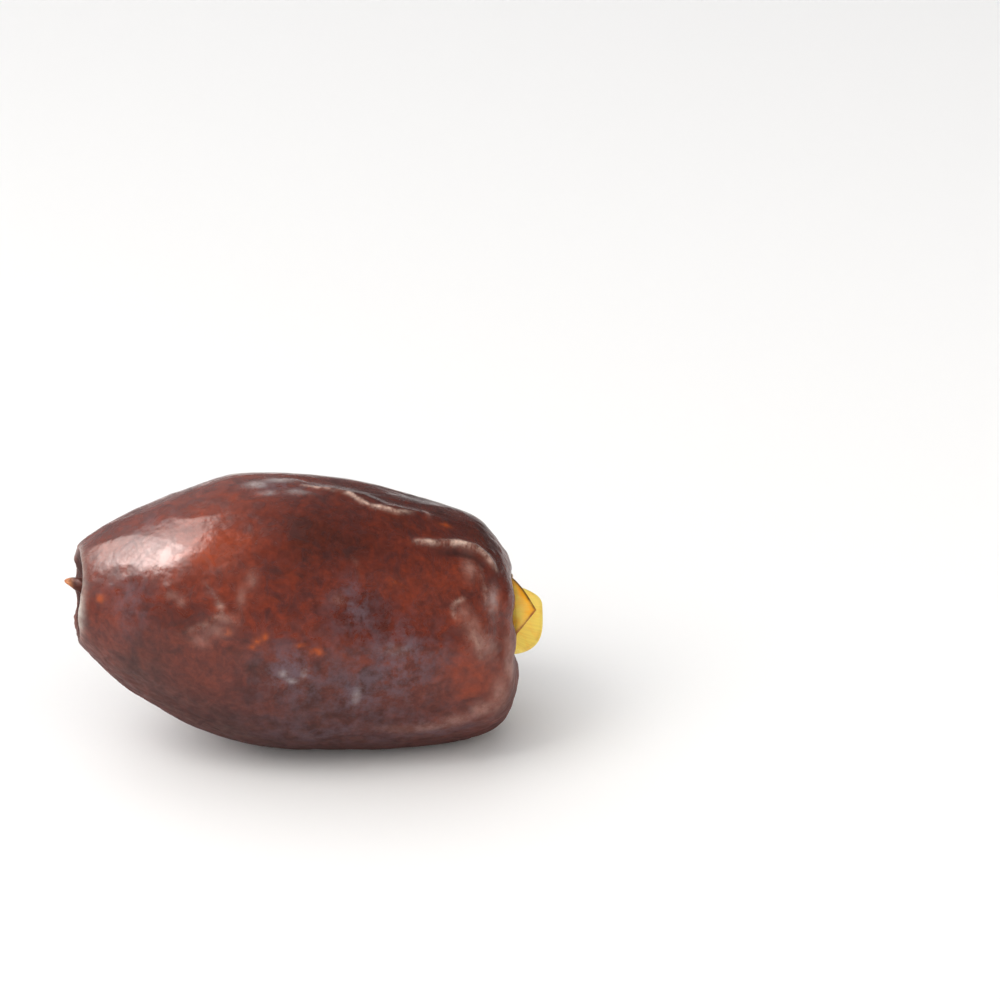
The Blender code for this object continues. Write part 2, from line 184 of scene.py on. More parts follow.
BLISTERS = (               # small raised spots: (place, spread along, spread across, height)
    ((-13.0, 31), 0.80, 0.45, 0.10), ((-8.6, 27), 0.45, 0.45, 0.11),
    ((-7.7, 23), 0.80, 0.60, 0.06), ((-9.4, 17), 0.90, 0.60, 0.06),
    ((-11.5, 5), 0.80, 0.70, 0.05), ((-5.1, 92), 1.10, 0.50, 0.08),
    ((-3.2, 83), 0.80, 0.50, 0.08), ((-1.6, 94), 1.20, 0.50, 0.08),
    ((-1.0, 82), 0.60, 0.50, 0.06), ((13.3, 78), 0.30, 0.60, 0.09),
    ((7.6, 40), 0.45, 0.35, 0.05),
)

# Where the skin's colours lie: (place, spread along, spread across, strength)
FLUSH = (                  # bright red-brown, where the flesh shows through the skin
    ((-8.5, 52), 4.2, 3.4, 1.0), ((-10.5, -24), 4.0, 3.0, 0.35),
    ((15.6, -8), 2.2, 3.8, 0.65), ((9.5, 30), 4.0, 3.0, 0.45),
    ((12.8, 76), 2.6, 1.5, 0.6), ((-17.5, 20), 1.8, 2.2, 0.5),
    ((-7.5, 96), 5.0, 3.0, 0.55), ((18.6, 44), 1.4, 3.0, 0.5),
    ((13.6, 28), 2.2, 2.4, 0.45), ((17.6, 46), 1.4, 2.6, 0.40),
    ((18.2, 57), 1.0, 0.8, 0.9), ((17.4, 29), 0.8, 0.7, 0.7),
    ((-9.6, -24), 3.0, 1.2, 0.35), ((4.0, 196), 6.0, 5.0, 0.7),
    ((-12.0, 150), 4.0, 4.0, 0.6), ((-6.0, 262), 6.0, 4.0, 0.5),
)
DUSK = (                   # dark purple-brown; the patches low on the near side and on the top also stand for painted shade
    ((2.5, 58), 6.0, 4.0, 0.8), ((7.0, 90), 6.0, 3.4, 1.0),
    ((-2.0, -40), 15.0, 4.6, 0.85), ((1.5, -10), 8.0, 4.0, 0.5),
    ((-14.5, -22), 4.0, 3.4, 0.7), ((14.0, 80), 3.4, 2.6, 0.7),
    ((-5.0, 0), 2.6, 1.8, 0.5), ((-11.5, 14), 2.0, 1.6, 0.4),
    ((5.5, 22), 3.4, 3.6, 0.7), ((12.0, 100), 4.0, 3.0, 0.8),
    ((18.6, 70), 1.6, 4.0, 0.8), ((-14.0, 8), 3.6, 3.4, 0.45),
    ((15.5, 92), 3.5, 3.6, 0.7), ((-12.5, -34), 5.0, 3.4, 0.5),
    ((-3.0, 220), 6.0, 4.0, 0.8), ((10.0, 250), 6.0, 5.0, 0.8),
)
BLOOM = (                  # thin blue-grey wax
    ((0.0, -6), 4.6, 4.0, 0.65), ((8.6, 0), 4.4, 5.0, 0.75),
    ((5.2, -11), 1.6, 1.8, 0.9), ((-1.4, 1), 1.8, 1.6, 0.9),
    ((4.0, 28), 2.2, 2.4, 0.85), ((10.0, 12), 3.4, 2.0, 0.6),
    ((14.6, -32), 3.4, 2.2, 0.7), ((4.0, -36), 8.0, 2.6, 0.6),
    ((-3.0, 88), 2.6, 1.2, 0.9), ((-16.4, 24), 2.4, 3.4, 0.45),
    ((-14.6, 74), 3.6, 2.2, 0.35), ((2.0, 178), 5.0, 3.6, 0.5),
    ((-8.0, 214), 4.0, 3.0, 0.5),
)
FROST_AND_REFLECTION = (                  # thicker wax, almost white; the patches on the top are painted reflection
    ((-5.2, 90), 1.0, 0.60, 0.9), ((-2.6, 94), 1.6, 0.50, 0.9),
    ((-1.4, 83), 1.1, 0.50, 0.7), ((-4.2, 82), 0.9, 0.40, 0.6),
    ((-1.8, -3), 0.35, 0.35, 0.5), ((-0.9, -6), 0.50, 0.25, 0.5),
    ((0.1, -2), 0.25, 0.50, 0.4), ((5.4, -12), 0.35, 0.9, 0.4),
    ((8.6, 11), 1.2, 0.50, 0.2), ((18.6, 41), 0.8, 1.30, 0.45),
    ((3.0, 170), 2.0, 0.70, 0.6), ((-6.0, 214), 1.6, 0.60, 0.6),
)
SCUFFS = (                 # loosened skin, dry and pinkish
    ((15.7, 55), 0.8, 1.3, 0.85), ((18.2, 64), 0.9, 0.5, 0.9),
    ((15.2, 30), 0.8, 0.9, 0.7), ((16.0, 24), 0.9, 1.1, 0.75),
    ((16.9, 18), 1.0, 1.2, 0.7), ((18.2, 13), 1.0, 1.0, 0.6),
    ((18.2, 40), 0.9, 1.2, 0.5), ((20.6, 8), 0.6, 1.8, 0.5),
    ((20.2, -1), 0.6, 1.8, 0.9), ((18.9, -15), 0.7, 1.5, 0.9),
    ((17.3, -21), 1.0, 0.8, 0.9), ((15.2, -26), 1.4, 0.7, 0.8),
    ((12.8, -30), 1.8, 0.6, 0.6), ((10.0, -32), 2.2, 0.6, 0.35),
    ((-12.6, 27), 0.8, 0.35, 0.7), ((-11.8, 24), 0.4, 0.40, 0.6),
    ((-8.1, 23), 0.3, 0.30, 1.0), ((-7.4, 18), 1.2, 0.5, 0.55),
    ((-6.4, 27), 0.4, 1.2, 0.5), ((-8.4, 12), 1.3, 0.6, 0.5),
    ((-9.8, 6), 1.0, 0.6, 0.5), ((-5.6, 36), 0.5, 1.0, 0.5),
    ((2.6, 30), 0.6, 0.5, 0.4), ((11.4, 81), 0.3, 0.6, 1.0),
    ((8.0, 200), 2.4, 0.8, 0.5), ((-4.0, 232), 2.0, 0.7, 0.4),
)
RUST = (                   # small orange flecks
    ((-7.5, 12), 0.45, 0.30, 0.9), ((-4.6, 10), 0.35, 0.35, 0.9),
    ((-3.9, 12), 0.30, 0.40, 0.9), ((-5.0, 7), 0.30, 0.25, 0.7),
    ((-0.6, 10), 0.40, 0.22, 0.8), ((1.0, 8), 0.60, 0.32, 1.0),
    ((-18.9, 22), 0.45, 0.45, 0.8), ((13.2, 77), 0.8, 0.35, 0.8),
    ((7.6, 40), 0.35, 0.25, 0.8), ((9.2, 4), 0.50, 0.35, 0.5),
    ((18.9, 40), 0.6, 0.8, 0.8), ((6.0, 186), 0.6, 0.4, 0.8),
    ((-5.0, 240), 0.6, 0.4, 0.8),
)

# Skin relief too fine for the solids, in millimetres
CRINKLE_LENGTH = 3.4
CRINKLE_WIDTH = 1.3
CRINKLE_HEIGHT = 0.06
DIMPLE_SIZE = 1.1
DIMPLE_HEIGHT = 0.035

RIB_RADIUS = 3.5           # radius at which the spacing of the calyx's ribs is counted

# Studio, in metres
ROOM_BRIGHT_SIDE = (-0.74, 0.47, 0.48)  # direction of the room's bright side
ROOM_BRIGHT = 0.75
ROOM_DIM = 0.14
LIGHT_DISTANCE = 0.6
AIM_POINT = (0.0, 0.0, 0.013)           # the middle of the fruit
TABLE_SIZE = 6.0
TABLE_SINK = 0.00004       # keeps the table's face just clear of the fruit's flat spots
# A window to the upper left, which is seen as a reflection, and the light of the room, which
# isn't: (name, direction, size, radiance, tint, shines, shows)
LIGHTS = (
    ("window", (-0.57, 0.16, 0.80), (0.46, 0.36), 10.5, "#FFF4EE", False, True),
    ("window_pane", (-0.63, 0.02, 0.78), (0.20, 0.14), 24.0, "#FFF8F4", False, True),
    ("daylight", (-0.66, -0.25, 0.70), (0.4, 0.4), 2.6, "#FFFAF4", True, False),
    ("ceiling", (-0.15, 0.0, 0.98), (1.0, 1.0), 0.36, "#FFFFFF", True, False),
    ("near_wall", (-0.38, -0.76, 0.52), (1.0, 1.0), 1.2, "#FFFFFF", True, False),
    ("right_wall", (0.86, -0.38, 0.34), (0.6, 0.6), 1.1, "#FFFAF2", True, False),
    ("far_wall", (-0.15, 0.86, 0.48), (1.2, 0.8), 0.36, "#FBFCFF", True, False),
)


def smooth_max(a, b, rounding):
    """The larger of two values, with a rounded passage from one to the other."""
    return 0.5 * (a + b + np.sqrt((a - b) ** 2 + rounding ** 2))


def flank(radius, length, fullness, bluntness):
    """Distance along the axis at which one half of the fruit has this radius."""
    share = np.clip(radius / GIRTH_RADIUS, 0.0, 1.0)
    return length * (1.0 - share ** bluntness) ** (1.0 / fullness)


def hollowed_end(radius, length, fullness, bluntness, rim, depth):
    """One half's outline with the hollow of its end, as distances along the axis."""
    outside = flank(radius, length, fullness, bluntness)
    floor = flank(rim, length, fullness, bluntness) - depth * (1.0 - (radius / rim) ** 2)
    return -smooth_max(-outside, -floor, RIM_ROUNDING)


def fruit_outline(count=1200):
    """The half outline from hollow floor to hollow floor: share of the way, along and radius.

    The share counts bends as well as length, so rings gather where the outline turns.
    """
    radius = GIRTH_RADIUS * np.sin(np.linspace(0.0, math.pi / 2, count))
    style = -hollowed_end(radius, STYLE_LENGTH, STYLE_FULLNESS, STYLE_BLUNTNESS,
                          STYLE_RIM_RADIUS, STYLE_HOLLOW_DEPTH)
    calyx = hollowed_end(radius, CALYX_LENGTH, CALYX_FULLNESS, CALYX_BLUNTNESS,
                         CALYX_RIM_RADIUS, CALYX_HOLLOW_DEPTH)
    along = np.concatenate([style, calyx[::-1][1:]])
    radius = np.concatenate([radius, radius[::-1][1:]])
    step = np.hypot(np.diff(along), np.diff(radius))
    heading = np.unwrap(np.arctan2(np.diff(radius), np.diff(along)))
    turn = np.abs(np.diff(heading, prepend=heading[0]))
    share = np.concatenate([[0.0], np.cumsum(step + BEND_WEIGHT * turn)])
    return share / share[-1], along, radius


OUTLINE = fruit_outline()


def round_the_axis(along, radius, angle):
    """Points at this distance along the axis, radius and angle (radians)."""
    across = -radius * np.cos(angle) * SIDE_SHARE
    return np.stack([along, across, radius * np.sin(angle)], axis=-1)


def place_on_skin(place):
    """The point of the smooth flank at (millimetres along, degrees round)."""
    outer = OUTLINE[2] > STYLE_RIM_RADIUS + 0.2
    radius = np.interp(place[0], OUTLINE[1][outer], OUTLINE[2][outer])
    return round_the_axis(place[0], radius, math.radians(place[1]))


def swelling(points, place, spread_along, spread_across, height):
    """A soft bump, or a dent where the height is negative."""
    apart = points - place_on_skin(place)
    across = np.hypot(apart[:, 1], apart[:, 2])
    return height * np.exp(-(apart[:, 0] / spread_along) ** 2 - (across / spread_across) ** 2)


def fold(points, height, half_width, path):
    """A rounded ridge, or a furrow, along a path of places, fading out at both ends."""
    places = np.array([place_on_skin(place) for place in path])
    nearest = np.full(len(points), 1e9)
    progress = np.zeros(len(points))
    for number, (start, end) in enumerate(zip(places[:-1], places[1:])):
        leg = end - start
        share = np.clip((points - start) @ leg / (leg @ leg), 0.0, 1.0)
        distance = np.linalg.norm(points - start - share[:, None] * leg, axis=1)
        closer = distance < nearest
        nearest = np.where(closer, distance, nearest)
        progress = np.where(closer, (number + share) / (len(places) - 1), progress)
    fade = np.sqrt(np.clip(4.0 * progress * (1.0 - progress), 0.0, 1.0)) * 0.8 + 0.2
    return height * fade * np.exp(-(nearest / half_width) ** 2)


def noise_at(points, size):
    """Smooth noise, about -1 to 1, at points divided by a size for each direction."""
    return np.array([noise.noise(Vector(point)) for point in points / np.array(size)])


def relief(points, angle):
    """Height of the skin over the smooth flank."""
    height = np.zeros(len(points))
    for place, spread_along, spread_across, bump in SWELLINGS:
        height += swelling(points, place, spread_along, spread_across, bump)
    for bump, half_width, path in FOLDS + FINE_FOLDS:
        height += fold(points, bump, half_width, path)
    for place, spread_along, spread_across, bump in BLISTERS:
        height += swelling(points, place, spread_along, spread_across, bump)
    away = 0.5 - 0.5 * np.cos(angle - math.radians(WRINKLE_QUIET_SIDE))
    size = (WRINKLE_LENGTH, WRINKLE_WIDTH, WRINKLE_WIDTH)
    wrinkles = 1.0 - WRINKLE_SHARPNESS * np.abs(noise_at(points + WRINKLE_SEED, size))
    height += (WRINKLE_FRONT + (WRINKLE_BACK - WRINKLE_FRONT) * away ** 2) * wrinkles
    height += LUMP_HEIGHT * noise_at(points + LUMP_SEED, (LUMP_SIZE, LUMP_SIZE, LUMP_SIZE))
    radius = np.hypot(points[:, 1], points[:, 2])
    shoulder = (radius - CALYX_RIM_RADIUS - PUCKER_OFFSET) / PUCKER_SPREAD
    shoulder = np.exp(-shoulder ** 2) * (points[:, 0] > 0)
    height += PUCKER_HEIGHT * shoulder * np.sin(SHOULDER_PUCKERS * angle + np.sin(2 * angle))
    hollow = np.clip(radius / SMOOTH_RADIUS, 0.0, 1.0) ** 2
    pleat = np.exp(-((radius - HOLLOW_PLEAT_RADIUS) / HOLLOW_PLEAT_SPREAD) ** 2)
    pleat = pleat * (points[:, 0] < -ENDS_FROM)
    pleat = pleat * (0.6 + 0.4 * np.sin(3 * angle + 1.0))
    fine = HOLLOW_PLEAT_HEIGHT * pleat * np.sin(HOLLOW_PLEATS * angle + np.sin(2 * angle))
    return height * hollow + fine


def lean(points):
    """Points of the straight fruit moved to its arched, pitched lie, before it is set down."""
    along, across, up = points[:, 0], points[:, 1], points[:, 2]
    calyx_end = np.clip(along / CALYX_LENGTH, 0.0, 1.0) ** 3
    style_end = np.clip(-along / STYLE_SLANT_REACH, 0.0, 1.0) ** 3
    inside = 1.0 - (across ** 2 + up ** 2) / CALYX_RAISE_RADIUS ** 2
    inside = np.clip(inside, 0.0, 1.0) ** 2
    up = up + CALYX_RAISE * inside * calyx_end
    slant = STYLE_SLANT_UP * up - STYLE_SLANT_SIDE * across
    slanted = along - CALYX_SLANT * up * calyx_end + slant * style_end
    raised = up + ARCH * (1.0 - (along / ARCH_REACH) ** 2)
    x = slanted * math.cos(PITCH) + raised * math.sin(PITCH)
    z = -slanted * math.sin(PITCH) + raised * math.cos(PITCH)
    return np.stack([x, across, z], axis=-1)


def fruit_points(share, angle):
    """Points of the skin, leaning but not yet set down."""
    along = np.interp(share, OUTLINE[0], OUTLINE[1])
    radius = np.interp(share, OUTLINE[0], OUTLINE[2])
    points = round_the_axis(along, radius, angle)
    ahead = np.clip(share + 0.002, 0.0, 1.0)
    behind = np.clip(share - 0.002, 0.0, 1.0)
    rise = np.interp(ahead, OUTLINE[0], OUTLINE[2]) - np.interp(behind, OUTLINE[0], OUTLINE[2])
    run = np.interp(ahead, OUTLINE[0], OUTLINE[1]) - np.interp(behind, OUTLINE[0], OUTLINE[1])
    length = np.hypot(rise, run)
    outward = round_the_axis(-rise / length, run / length, angle)
    return lean(points + outward * relief(points, angle)[:, None])


def resting_level():
    """Height of the resting surface below the leaning fruit."""
    share, angle = np.meshgrid(np.linspace(0.2, 0.95, 120),
                               np.radians(np.linspace(-130.0, -50.0, 60)))
    return fruit_points(share.ravel(), angle.ravel())[:, 2].min() + SINK


LEVEL = resting_level()


def set_down(points):
    """Leaning points lowered onto the resting surface, with the underside pressed flat.

    The pressed underside keeps three low points, which alone touch the surface.
    """
    height = points[:, 2] - LEVEL
    pressed = smooth_max(height, np.zeros(len(points)), PRESS_ROUNDING) - PRESS_TRIM
    settled = points.copy()
    settled[:, 2] = np.maximum(pressed, 0.0) + LOW_POINT_DROP
    for along, across, flat, slope_width in LOW_POINTS:
        apart = np.hypot(points[:, 0] - along, points[:, 1] - across)
        slope = np.clip((apart - flat) / slope_width, 0.0, 1.0)
        lift = slope ** 2 * (3.0 - 2.0 * slope)
        settled[:, 2] *= np.where(height < 3.0, lift, 1.0)
    return settled


def carry(points):
    """Points of a piece that the fruit carries, moved with the fruit but not pressed."""
    carried = lean(points)
    carried[:, 2] -= LEVEL + PRESS_TRIM - LOW_POINT_DROP
    return carried


def lobe_height(angle):
    """Height of the calyx's rim over its cup, and how far it spreads there."""
    height = np.full(angle.shape, CALYX_NOTCH)
    spread = np.zeros(angle.shape)
    for middle, tall, below, above, roundness, lean_out in CALYX_LOBES:
        apart = np.degrees(np.angle(np.exp(1j * (angle - math.radians(middle)))))
        share = np.clip(np.abs(apart) / np.where(apart < 0.0, below, above), 0.0, 1.0)
        lobe = CALYX_NOTCH + (tall - CALYX_NOTCH) * (1.0 - share ** roundness)
        spread = np.where(lobe > height, lean_out * (1.0 - share), spread)
        height = np.maximum(height, lobe)
    return height, spread


def calyx_sheet(way, angle):
    """Middle surface of the calyx: way 0 is the centre of the cup and 1 the rim."""
    cup = np.clip(way / 0.5, 0.0, 1.0)
    lobe = np.clip((way - 0.5) / 0.5, 0.0, 1.0)
    height, spread = lobe_height(angle)
    curve = np.sin(cup * math.pi / 2)
    radius = CALYX_CUP_RADIUS * curve
    radius = radius + (CALYX_MOUTH_RADIUS - CALYX_CUP_RADIUS) * np.sin(lobe * math.pi / 2)
    radius = radius + spread * lobe ** 2
    rise = CALYX_CUP_HEIGHT * (1.0 - np.cos(cup * math.pi / 2)) + height * lobe
    scar = SCAR_HEIGHT * np.exp(-((radius - 0.6 * SCAR_RADIUS) / (0.45 * SCAR_RADIUS)) ** 2)
    return round_the_axis(rise + scar * (1.0 - lobe), radius, angle)


def calyx_points(share, angle):
    """Closed surface of the calyx: its outer face, then over the rim to its inner face."""
    way = 1.0 - np.abs(2.0 * share - 1.0)
    step = 0.004
    inner = np.clip(way - step, 0.002, 1.0)
    outer = np.clip(way + step, 0.0, 1.0)
    up_the_wall = calyx_sheet(outer, angle) - calyx_sheet(inner, angle)
    round_the_wall = calyx_sheet(np.maximum(way, 0.01), angle + 0.01)
    round_the_wall = round_the_wall - calyx_sheet(np.maximum(way, 0.01), angle - 0.01)
    outward = np.cross(up_the_wall, round_the_wall)
    outward /= np.linalg.norm(outward, axis=1)[:, None]
    side = np.where(share < 0.5, 1.0, -1.0) * np.sqrt(np.clip(1.0 - way ** 8, 0.0, 1.0))
    sheet = calyx_sheet(way, angle) + outward * (side * CALYX_THICKNESS / 2)[:, None]
    rim_at = flank(CALYX_RIM_RADIUS, CALYX_LENGTH, CALYX_FULLNESS, CALYX_BLUNTNESS)
    sheet[:, 0] += rim_at - CALYX_HOLLOW_DEPTH + CALYX_GAP + CALYX_THICKNESS / 2
    return carry(sheet)


def tip_points(share, angle):
    """Closed surface of the style tip, from its point to its root in the hollow."""
    out = 1.0 - share
    radius = TIP_RADIUS * np.sin(np.pi * share) ** 0.5 * (1.0 - TIP_TAPER * out)
    lumps = 0.18 * np.cos(2 * angle + 0.6) + 0.12 * np.sin(3 * angle + 9.0 * share)
    radius = radius * (1.0 + lumps)
    rim_at = -flank(STYLE_RIM_RADIUS, STYLE_LENGTH, STYLE_FULLNESS, STYLE_BLUNTNESS)
    root = rim_at + STYLE_HOLLOW_DEPTH - TIP_GAP
    along = root - TIP_LENGTH * out ** 1.3
    points = round_the_axis(along, radius, angle)
    points[:, 1] += TIP_PLACE[0]
    points[:, 2] += TIP_PLACE[1] + TIP_RISE * out ** 2
    return carry(points)


def middle_of_part():
    """Middle of the part's bounding box over the resting surface."""
    share, angle = np.meshgrid(np.linspace(0.0, 1.0, 121), np.linspace(0.0, 2 * math.pi, 121))
    share, angle = share.ravel(), angle.ravel()
    points = np.concatenate([set_down(fruit_points(share, angle)),
                             calyx_points(share, angle),
                             tip_points(share, angle)])
    low, high = points.min(axis=0), points.max(axis=0)
    return (low + high) / 2


def patches(points, places):
    """Strength, 0 to 1, of a colour that lies in soft patches on the skin."""
    strength = np.zeros(len(points))
    for place, spread_along, spread_across, most in places:
        patch = swelling(points, place, spread_along, spread_across, most)
        strength = strength + patch - strength * patch
    return np.clip(strength, 0.0, 1.0)


def sphere_mesh(name, mesh_size, surface, middle):
    """A sphere's mesh moved to surface(share of the way, angle), with both kept for later."""
    segments, rings = mesh_size
    shape = bmesh.new()
    bmesh.ops.create_uvsphere(shape, u_segments=segments, v_segments=rings, radius=1.0)
    bmesh.ops.triangulate(shape, faces=shape.faces)
    mesh = bpy.data.meshes.new(name)
    shape.to_mesh(mesh)
    shape.free()
    ball = np.empty(len(mesh.vertices) * 3, dtype=np.float32)
    mesh.vertices.foreach_get("co", ball)
    ball = ball.reshape(-1, 3).astype(float)
    share = np.arccos(np.clip(-ball[:, 2], -1.0, 1.0)) / math.pi
    angle = math.pi - np.arctan2(ball[:, 1], ball[:, 0])
    points = (surface(share, angle) - np.array([middle[0], middle[1], 0.0])) * MM
    mesh.vertices.foreach_set("co", points.astype(np.float32).ravel())
    mesh.shade_smooth()
    mesh.update()
    return mesh, share, angle


def keep_on_points(mesh, name, values):
    """Stores one number, or one vector, for each point of the mesh."""
    kind, key = ("FLOAT", "value") if values.ndim == 1 else ("FLOAT_VECTOR", "vector")
    layer = mesh.attributes.new(name, kind, "POINT")
    layer.data.foreach_set(key, values.astype(np.float32).ravel())


def add(tree, kind, inputs=None, **settings):
    """Adds a node. inputs gives each socket, by name or number, a value or another's output."""
    node = tree.nodes.new(kind)
    for name, value in settings.items():
        setattr(node, name, value)
    for key, value in (inputs or {}).items():
        if isinstance(value, bpy.types.NodeSocket):
            tree.links.new(value, node.inputs[key])
        else:
            node.inputs[key].default_value = value
    return node


def colour(hex_code):
    """An sRGB hex colour as the linear RGBA that a shader takes."""
    parts = [int(hex_code[i:i + 2], 16) / 255 for i in (1, 3, 5)]
    linear = [c / 12.92 if c <= 0.04045 else ((c + 0.055) / 1.055) ** 2.4 for c in parts]
    return (*linear, 1.0)


def skin_relief_tree():
    """Fine crinkles and dimples raised along the normal, held back where the fruit is pressed."""
    tree = bpy.data.node_groups.new("skin_relief", "GeometryNodeTree")
    tree.interface.new_socket("Geometry", in_out="INPUT", socket_type="NodeSocketGeometry")
    for name, value in (("Crinkle length", CRINKLE_LENGTH), ("Crinkle width", CRINKLE_WIDTH),
                        ("Crinkle height", CRINKLE_HEIGHT), ("Dimple size", DIMPLE_SIZE),
                        ("Dimple height", DIMPLE_HEIGHT)):
        socket = tree.interface.new_socket(name, in_out="INPUT", socket_type="NodeSocketFloat")
        socket.default_value = value
    tree.interface.new_socket("Skin", in_out="INPUT", socket_type="NodeSocketMaterial")
    tree.interface.new_socket("Geometry", in_out="OUTPUT", socket_type="NodeSocketGeometry")
    given = add(tree, "NodeGroupInput").outputs
    place, free, slack = [
        add(tree, "GeometryNodeInputNamedAttribute", {"Name": name},
            data_type=kind).outputs["Attribute"]
        for name, kind in (("place", "FLOAT_VECTOR"), ("free", "FLOAT"), ("slack", "FLOAT"))]
    cell = add(tree, "ShaderNodeCombineXYZ", {"X": given["Crinkle length"],
                                              "Y": given["Crinkle width"],
                                              "Z": given["Crinkle width"]}).outputs[0]
    stretched = add(tree, "ShaderNodeVectorMath", {0: place, 1: cell},
                    operation="DIVIDE").outputs[0]
    crinkle = add(tree, "ShaderNodeTexNoise", {"Vector": stretched, "Scale": 1.0, "Detail": 2.0,
                                               "Roughness": 0.5, "Distortion": 0.4}).outputs[0]
    crease = add(tree, "ShaderNodeMath", {0: crinkle, 1: 0.5}, operation="SUBTRACT").outputs[0]
    crease = add(tree, "ShaderNodeMath", {0: crease}, operation="ABSOLUTE").outputs[0]
    crease = add(tree, "ShaderNodeMapRange", {"Value": crease, "From Min": 0.0, "From Max": 0.12,
                                              "To Min": -1.0, "To Max": 0.3},
                 interpolation_type="SMOOTHSTEP").outputs[0]
    for factor in (given["Crinkle height"], slack):
        crease = add(tree, "ShaderNodeMath", {0: crease, 1: factor},
                     operation="MULTIPLY").outputs[0]
    per_size = add(tree, "ShaderNodeMath", {0: 1.0, 1: given["Dimple size"]},
                   operation="DIVIDE").outputs[0]
    dimple = add(tree, "ShaderNodeTexNoise", {"Vector": place, "Scale": per_size,
                                              "Detail": 1.0}).outputs[0]
    dimple = add(tree, "ShaderNodeMath", {0: dimple, 1: 0.5}, operation="SUBTRACT").outputs[0]
    dimple = add(tree, "ShaderNodeMath", {0: dimple, 1: given["Dimple height"]},
                 operation="MULTIPLY").outputs[0]
    rise = add(tree, "ShaderNodeMath", {0: crease, 1: dimple}, operation="ADD").outputs[0]
    for factor in (free, MM):
        rise = add(tree, "ShaderNodeMath", {0: rise, 1: factor}, operation="MULTIPLY").outputs[0]
    normal = add(tree, "GeometryNodeInputNormal").outputs[0]
    offset = add(tree, "ShaderNodeVectorMath", {0: normal, "Scale": rise},
                 operation="SCALE").outputs[0]
    moved = add(tree, "GeometryNodeSetPosition", {"Geometry": given["Geometry"],
                                                  "Offset": offset}).outputs[0]
    whole = add(tree, "GeometryNodeRealizeInstances", {"Geometry": moved}).outputs[0]
    dressed = add(tree, "GeometryNodeSetMaterial", {"Geometry": whole,
                                                    "Material": given["Skin"]}).outputs[0]
    add(tree, "NodeGroupOutput", {"Geometry": dressed})
    return tree


def run_tree(name, mesh, tree, inputs):
    """The mesh that a Geometry Nodes tree makes of this one, as an object of its own."""
    carrier = bpy.data.objects.new(name + "_raw", mesh)
    bpy.context.scene.collection.objects.link(carrier)
    modifier = carrier.modifiers.new(tree.name, "NODES")
    modifier.node_group = tree
    for item in tree.interface.items_tree:
        if item.item_type == "SOCKET" and item.in_out == "INPUT" and item.name in inputs:
            modifier[item.identifier] = inputs[item.name]
    carrier.update_tag()
    graph = bpy.context.evaluated_depsgraph_get()
    made = bpy.data.meshes.new_from_object(carrier.evaluated_get(graph))
    made.name = name
    bpy.data.objects.remove(carrier, do_unlink=True)
    piece = bpy.data.objects.new(name, made)
    bpy.context.scene.collection.objects.link(piece)
    return piece


def new_material(name):
    """An empty material with its Principled shader."""
    material = bpy.data.materials.new(name)
    material.use_nodes = True
    return material, material.node_tree, material.node_tree.nodes["Principled BSDF"]


